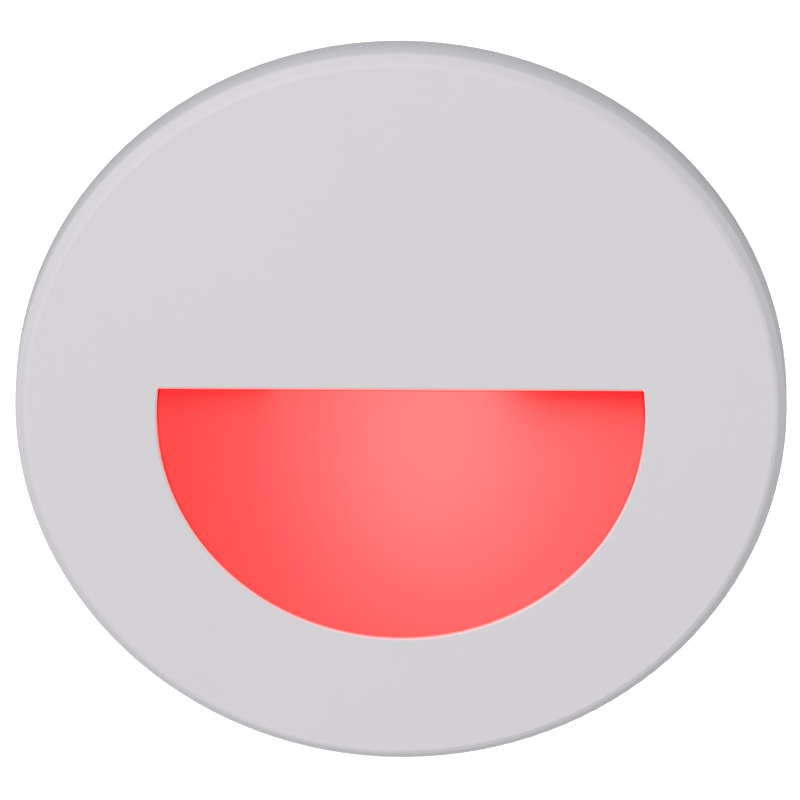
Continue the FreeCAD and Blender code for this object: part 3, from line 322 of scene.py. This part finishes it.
white_moulding = Finish("white_moulding", (0.86, 0.86, 0.84), 0.6, specular=0.4)
white_flow = white_moulding.noise(0.4, 2.0)
white_moulding.set("Base Color", white_moulding.mix(white_flow, (0.83, 0.83, 0.81), (0.88, 0.88, 0.86)))
white_moulding.relief(white_moulding.noise(4.0), 0.008, 0.2)
dress(white_moulding, "white_moulding", "light_chamber")

pad = Finish("thermal_pad", (0.30, 0.34, 0.42), 0.8, specular=0.3)
pad_grain = pad.noise(3.0, 3.0)
pad.set("Base Color", pad.mix(pad_grain, (0.26, 0.30, 0.38), (0.34, 0.38, 0.46)))
pad.relief(pad_grain, 0.03)
dress(pad, "thermal", "thermal_pad")


def tracks(finish, mask, copper_under_mask, block_mm, pitch_mm, gap_mm):
    """Colours a board by copper tracks that show faintly through its mask.

    The tracks run side by side in squares, each so far from the middle of its block, with the gap cut out of
    each pitch.
    """
    across, _, height = finish.axes()
    plane = finish.node("ShaderNodeCombineXYZ", {}, {"X": across, "Y": height})
    sockets = {"Vector": plane, "Scale": 1 / block_mm, "Randomness": 0.8}
    settings = {"voronoi_dimensions": "2D", "distance": "CHEBYCHEV", "feature": "F1"}
    from_middle = finish.node("ShaderNodeTexVoronoi", settings, sockets, "Distance") * block_mm
    track = from_middle.math("PINGPONG", from_middle, pitch_mm / 2).above(gap_mm / 2, 0.06)
    finish.set("Base Color", finish.mix(track, mask, copper_under_mask))
    finish.relief(track, 0.03, 0.1)


white_board = Finish("white_board", (0.80, 0.80, 0.77), 0.35, specular=0.5)
tracks(white_board, (0.76, 0.76, 0.73), (0.82, 0.82, 0.79), 13.0, 3.6, 0.4)
dress(white_board, "board_white", "led_board")

ceramic = Finish("led_ceramic", (0.80, 0.79, 0.74), 0.5)
ceramic_grain = ceramic.noise(5.0)
ceramic.set("Base Color", ceramic.mix(ceramic_grain, (0.77, 0.76, 0.71), (0.83, 0.82, 0.77)))
ceramic.relief(ceramic_grain, 0.008, 0.1)
dress(ceramic, "led_ceramic", "led_packages")

resin = Finish("led_resin", (0.75, 0.10, 0.08), 0.2, coat=0.3)
resin_cloud = resin.noise(3.0)
resin.set("Emission Color", resin.mix(resin_cloud, (0.9, 0.08, 0.06), (1.0, 0.13, 0.10)))
resin.set("Emission Strength", 1.0)
dress(resin, "led_resin", "led_fills")

nylon = Finish("natural_nylon", (0.78, 0.76, 0.70), 0.5)
nylon_flow = nylon.noise(1.2)
nylon.set("Base Color", nylon.mix(nylon_flow, (0.74, 0.72, 0.66), (0.82, 0.80, 0.74)))
nylon.relief(nylon_flow, 0.01, 0.15)
dress(nylon, "plug_nylon", "board_plug")


# ---- leads ----
# Two stranded leads in extruded sleeves, red and black, run from the connector through the grommet.


def lead_sleeve(name, dark, light):
    """Soft extruded sleeve with faint lengthwise tone."""
    sleeve = Finish(name, dark, 0.4)
    tone = sleeve.noise(2.0, 2.0, (1, 0.1, 0.1))
    sleeve.set("Base Color", sleeve.mix(tone, dark, light))
    sleeve.set("Roughness", 0.35 + 0.15 * tone)
    return sleeve


dress(lead_sleeve("red_lead", (0.48, 0.015, 0.015), (0.56, 0.03, 0.03)), "lead_red", "positive_lead")
dress(lead_sleeve("black_lead", (0.016, 0.016, 0.016), (0.03, 0.03, 0.03)), "lead_black", "negative_lead")


# ---- driver board ----
# A round green circuit board on three brass pillars, with the parts of a small LED driver on it.

brass = Finish("turned_brass", (0.62, 0.46, 0.20), 0.3, metallic=1.0)
turning = brass.noise(1.5, 2.0, (0.2, 6, 0.2))
brass.set("Base Color", brass.mix(turning, (0.54, 0.39, 0.16), (0.68, 0.52, 0.24)))
brass.relief(turning, 0.01, 0.1)
dress(brass, "brass", "board_pillars")

green_board = Finish("green_board", (0.03, 0.20, 0.09), 0.3, specular=0.5)
tracks(green_board, (0.012, 0.12, 0.05), (0.03, 0.20, 0.09), 7.0, 2.3, 0.35)
dress(green_board, "board_green", "driver_board")

can = Finish("capacitor_sleeve", (0.03, 0.05, 0.12), 0.35)
can_x, can_y, _ = can.axes()
stripe_front, stripe_side, stripe_fade = 35.0, -10.9, 0.1
can_stripe = can_y.above(stripe_front, stripe_fade) * can_x.above(stripe_side, stripe_fade)
can.set("Base Color", can.mix(can_stripe, (0.025, 0.045, 0.12), (0.50, 0.54, 0.60)))
can.set("Roughness", 0.28 + 0.12 * can.noise(0.8))
dress(can, "can_sleeve", "smoothing_capacitor")

ferrite = Finish("ferrite", (0.06, 0.06, 0.065), 0.6)
ferrite_grain = ferrite.noise(6.0, 4.0)
ferrite.set("Base Color", ferrite.mix(ferrite_grain, (0.045, 0.045, 0.05), (0.09, 0.09, 0.095)))
ferrite.relief(ferrite_grain, 0.02, 0.15)
dress(ferrite, "ferrite", "choke_core")

epoxy = Finish("moulded_epoxy", (0.02, 0.02, 0.022), 0.5)
epoxy_grain = epoxy.noise(5.0, 3.0)
epoxy.set("Base Color", epoxy.mix(epoxy_grain, (0.014, 0.014, 0.016), (0.035, 0.035, 0.037)))
epoxy.relief(epoxy_grain, 0.015, 0.08)
dress(epoxy, "moulded_black", "bridge_rectifier", "driver_chip", "chip_resistors", "flyback_diode")

terminal = Finish("terminal_nylon", (0.03, 0.24, 0.10), 0.45)
terminal_flow = terminal.noise(0.8)
terminal.set("Base Color", terminal.mix(terminal_flow, (0.025, 0.21, 0.085), (0.04, 0.28, 0.12)))
terminal.relief(terminal.noise(5.0), 0.01, 0.15)
dress(terminal, "terminal_green", "terminal_block")


# ---- choke winding ----
# Enamelled copper wire, wound on the drum in layers that go up and down it as one unbroken length. All
# sizes are in millimetres.

wire_radius = 0.19
wire_pitch = 0.40
wire_layers = 4
rings_per_wind = 24


def tube(name, centres, radius, sides, axis):
    """A round tube along a path, in millimetres, that winds round an axis: each ring is a circle across it.

    A ring's first radius is the cross product of the path's direction and the axis, and its second the cross
    product of the first and the path's direction. Both ends are closed by a fan.
    """
    along = np.gradient(centres, axis=0)
    along /= np.linalg.norm(along, axis=1)[:, None]
    rise = np.cross(along, np.array(axis))
    rise /= np.linalg.norm(rise, axis=1)[:, None]
    side = np.cross(rise, along)
    turn = np.linspace(0, 2 * np.pi, sides, endpoint=False)
    rings = centres[:, None] + radius * (
        np.cos(turn)[None, :, None] * rise[:, None] + np.sin(turn)[None, :, None] * side[:, None]
    )
    count = len(centres)
    points = np.concatenate([rings.reshape(-1, 3), centres[:1], centres[-1:]])
    row, column = np.meshgrid(np.arange(count - 1), np.arange(sides), indexing="ij")
    beside = (column + 1) % sides
    here, ahead = row * sides, (row + 1) * sides
    quads = np.stack([here + column, here + beside, ahead + beside, ahead + column], -1).reshape(-1, 4)
    corner = np.arange(sides)
    next_corner = (corner + 1) % sides
    last_ring = (count - 1) * sides
    first_fan = np.stack([np.full(sides, count * sides), next_corner, corner], -1)
    last_fan = np.stack([np.full(sides, count * sides + 1), last_ring + corner, last_ring + next_corner], -1)
    mesh = bpy.data.meshes.new(name)
    mesh.from_pydata(points / 1000, [], quads.tolist() + first_fan.tolist() + last_fan.tolist())
    mesh.polygons.foreach_set("use_smooth", np.ones(len(mesh.polygons), bool))
    piece = bpy.data.objects.new(name, mesh)
    bpy.context.scene.collection.objects.link(piece)
    return piece


sleeve_low, sleeve_high = (np.array(corner) * 1000 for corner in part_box("choke_winding"))
coil_x, coil_z = (sleeve_low[0] + sleeve_high[0]) / 2, (sleeve_low[2] + sleeve_high[2]) / 2
core_reach = (sleeve_high[0] - sleeve_low[0]) / 2 - 2 * wire_radius * wire_layers
rows = int((sleeve_high[1] - sleeve_low[1] - 2 * wire_radius) / wire_pitch)
winds = np.linspace(0, rows * wire_layers, rows * wire_layers * rings_per_wind + 1)
layer = np.floor(np.minimum(winds / rows, wire_layers - 1e-6))
in_layer = winds - layer * rows
up = np.where(layer % 2 == 0, in_layer, rows - in_layer)
step_out = np.clip((in_layer - rows + 0.5) * 2, 0, 1)  # over the last half wind of a layer
reach = core_reach + wire_radius + 2 * wire_radius * np.minimum(layer + step_out, wire_layers - 1)
path = np.stack(
    [
        coil_x + reach * np.cos(2 * np.pi * winds),
        sleeve_low[1] + wire_radius + up * wire_pitch,
        coil_z + reach * np.sin(2 * np.pi * winds),
    ],
    -1,
)
winding = tube("choke_turns", path, wire_radius, 8, (0.0, 1.0, 0.0))
copper = Finish("enamelled_copper", (0.55, 0.22, 0.08), 0.25, metallic=1.0, coat=0.5)
copper_tone = copper.noise(2.0)
copper.set("Base Color", copper.mix(copper_tone, (0.48, 0.18, 0.06), (0.62, 0.27, 0.10)))
winding.data.materials.append(copper.material)
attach(winding, "fixture")
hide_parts("choke_winding")


# ---- cable gland ----
# Black nylon: a body with a threaded stub through the cover, a lock nut inside and a domed nut that
# squeezes the slotted claws on the rubber bush. Moulded, with a slight sheen and faint flow marks.

gland = Finish("gland_nylon", (0.045, 0.045, 0.05), 0.42, specular=0.5)
gland_flow = gland.noise(0.7, 3.0)
gland.set("Base Color", gland.mix(gland_flow, (0.035, 0.035, 0.04), (0.06, 0.06, 0.066)))
gland.set("Roughness", 0.36 + 0.14 * gland_flow)
gland.relief(gland.noise(4.0), 0.01, 0.3)
dress(gland, "gland_nylon", "gland_body", "gland_lock_nut", "gland_nut")


# ---- spring clips ----
# Stainless strip, pressed into a saddle and an arm that turn on a headed pin, with a torsion spring of
# drawn wire round the pin, whose foot stays on the saddle while its toe and turns wind up with the arm.
# The strip is rolled, so its grain runs lengthwise and glints in bands.

strip_steel = Finish("strip_steel", (0.56, 0.56, 0.57), 0.32, metallic=1.0)
rolling = strip_steel.noise(0.8, 4.0, (1, 1, 14))
strip_steel.set("Base Color", strip_steel.mix(rolling, (0.46, 0.46, 0.47), (0.66, 0.66, 0.67)))
strip_steel.set("Roughness", 0.24 + 0.2 * rolling)
strip_steel.relief(rolling, 0.006, 0.12)
drawn_wire = Finish("drawn_wire", (0.45, 0.45, 0.47), 0.28, metallic=1.0)
die_marks = drawn_wire.noise(4.0, 2.0, (1, 1, 0.3))
drawn_wire.set("Base Color", drawn_wire.mix(die_marks, (0.38, 0.38, 0.40), (0.52, 0.52, 0.54)))
drawn_wire.set("Roughness", 0.22 + 0.16 * die_marks)

pin_x, pin_y = 28.9, 16.0
spring_wire_radius, spring_radius, spring_pitch = 0.3, 1.9, 1.05
foot_angle, toe_angle = math.radians(185.06), math.radians(2391.13)
foot_length, toe_length = 3.4, 7.5
rings_per_turn = 32


def spring_line():
    """The middle of the right spring's wire, in millimetres.

    The turns are a circle round the pin that sinks along Z by one pitch for each turn. The straight foot and
    toe leave them as tangents.
    """
    sink = spring_pitch / (2 * math.pi)
    ring_step = 2 * math.pi * spring_radius / rings_per_turn
    steps = round((toe_angle - foot_angle) / (2 * math.pi) * rings_per_turn)
    angle = np.linspace(foot_angle, toe_angle, steps + 1)
    turns = np.stack(
        [
            pin_x + spring_radius * np.cos(angle),
            pin_y + spring_radius * np.sin(angle),
            sink * ((foot_angle + toe_angle) / 2 - angle),
        ],
        -1,
    )
    ends = angle[[0, -1]]
    tangents = np.stack([-spring_radius * np.sin(ends), spring_radius * np.cos(ends), [-sink, -sink]], -1)
    tangents /= np.linalg.norm(tangents, axis=1)[:, None]
    back = np.linspace(foot_length, 0, round(foot_length / ring_step), endpoint=False)
    on = np.linspace(toe_length, 0, round(toe_length / ring_step), endpoint=False)[::-1]
    foot = turns[0] - back[:, None] * tangents[0]
    toe = turns[-1] + on[:, None] * tangents[1]
    return np.concatenate([foot, turns, toe])


for hand, half_turn in (("right", (1, 1, 1)), ("left", (-1, 1, -1))):
    dress(strip_steel, "stainless", f"clip_bracket_{hand}", f"clip_pin_{hand}", f"clip_arm_{hand}")
    line = spring_line() * half_turn
    spring = tube(f"clip_spring_turns_{hand}", line, spring_wire_radius, 12, (0.0, 0.0, 1.0))
    spring.data.materials.append(drawn_wire.material)
    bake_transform(spring)
    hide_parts(f"clip_spring_{hand}")


# ---- studio ----
# A pale floor well below the light, white to the camera and with the light's soft shadow, a broad key lamp
# from the front left, a low fill from behind, and an even white surround.

floor_drop = 0.30
floor_half = 8.0
floor_corners = np.array([(-1, -1), (1, -1), (1, 1), (-1, 1)]) * floor_half
floor_mesh = bpy.data.meshes.new("floor")
floor_mesh.from_pydata([(x, y, -floor_drop) for x, y in floor_corners], [], [(0, 1, 2, 3)])
floor = bpy.data.objects.new("floor", floor_mesh)
bpy.context.scene.collection.objects.link(floor)


def seen_directly(finish):
    """1 for the rays that show a background: from the camera, and through gloss or glass."""
    shown = finish.node("ShaderNodeLightPath", out="Is Camera Ray")
    for out in ("Is Glossy Ray", "Is Transmission Ray"):
        shown = shown.math("MAXIMUM", shown, finish.node("ShaderNodeLightPath", out=out))
    return shown


paper = Finish("paper_floor", (0.55, 0.55, 0.55), 1.0, specular=0.0)
paper.set("Emission Color", (1, 1, 1))
paper.set("Emission Strength", seen_directly(paper) * 0.76)
see_through = paper.node("ShaderNodeBsdfTransparent")
under = paper.node("ShaderNodeNewGeometry", out="Backfacing")
sheet = Wire(paper, paper.shader.outputs[0])
both_sides = paper.node("ShaderNodeMixShader", {}, {0: under, 1: sheet, 2: see_through})
paper.connect(paper.tree.nodes["Material Output"].inputs["Surface"], both_sides)
floor_mesh.materials.append(paper.material)


def lamp(name, aim, distance, side, level):
    """A square soft lamp along a direction from the light. Its level is the share of a pale surface's
    brightness that it gives one that faces it."""
    data = bpy.data.lights.new(name, "AREA")
    data.size = side
    data.energy = level * math.pi**2 * distance**2
    made = bpy.data.objects.new(name, data)
    bpy.context.scene.collection.objects.link(made)
    towards = Vector(aim).normalized()
    made.location = towards * distance
    made.rotation_mode = "QUATERNION"
    made.rotation_quaternion = towards.to_track_quat("Z", "Y")
    made.visible_camera = False


lamp("key_lamp", (-0.164, -0.49, 0.20), 2.0, 1.1, 0.555)
lamp("fill_lamp", (0.10, 0.98, 0.16), 2.0, 1.3, 0.26)

world = bpy.data.worlds.new("surround")
bpy.context.scene.world = world
world.use_nodes = True
surround = world.node_tree
surround.nodes.clear()
light_path = surround.nodes.new("ShaderNodeLightPath")
seen = light_path.outputs["Is Camera Ray"]
for output in ("Is Glossy Ray", "Is Transmission Ray"):
    larger = surround.nodes.new("ShaderNodeMath")
    larger.operation = "MAXIMUM"
    surround.links.new(seen, larger.inputs[0])
    surround.links.new(light_path.outputs[output], larger.inputs[1])
    seen = larger.outputs[0]
chosen = surround.nodes.new("ShaderNodeMixShader")
surround.links.new(seen, chosen.inputs[0])
for slot_number, colour, strength in ((1, (0.985, 1.01, 1.035, 1), 0.55), (2, (1, 1, 1, 1), 1.0)):
    background = surround.nodes.new("ShaderNodeBackground")
    background.inputs["Color"].default_value = colour
    background.inputs["Strength"].default_value = strength
    surround.links.new(background.outputs[0], chosen.inputs[slot_number])
world_output = surround.nodes.new("ShaderNodeOutputWorld")
surround.links.new(chosen.outputs[0], world_output.inputs["Surface"])


# ---- camera ----
# A long lens in front of the light, a little above it, so that the disc's circle is seen as an ellipse.

azimuth, elevation = math.radians(0.7), math.radians(24.0)
camera_distance = 2.67
backwards = Vector(
    (math.sin(azimuth) * math.cos(elevation), -math.cos(azimuth) * math.cos(elevation), math.sin(elevation))
)
rightwards = Vector((math.cos(azimuth), math.sin(azimuth), 0))
upwards = backwards.cross(rightwards)
aim_point = -0.00015 * rightwards - 0.00058 * upwards
camera_data = bpy.data.cameras.new("camera")
camera_data.lens = 1040.3
camera_data.sensor_width = 36
camera_data.clip_start, camera_data.clip_end = 0.1, 50
camera = bpy.data.objects.new("camera", camera_data)
bpy.context.scene.collection.objects.link(camera)
camera.location = aim_point + camera_distance * backwards
camera.rotation_mode = "QUATERNION"
camera.rotation_quaternion = backwards.to_track_quat("Z", "Y")
bpy.context.scene.camera = camera
bpy.context.scene.view_settings.view_transform = "Standard"
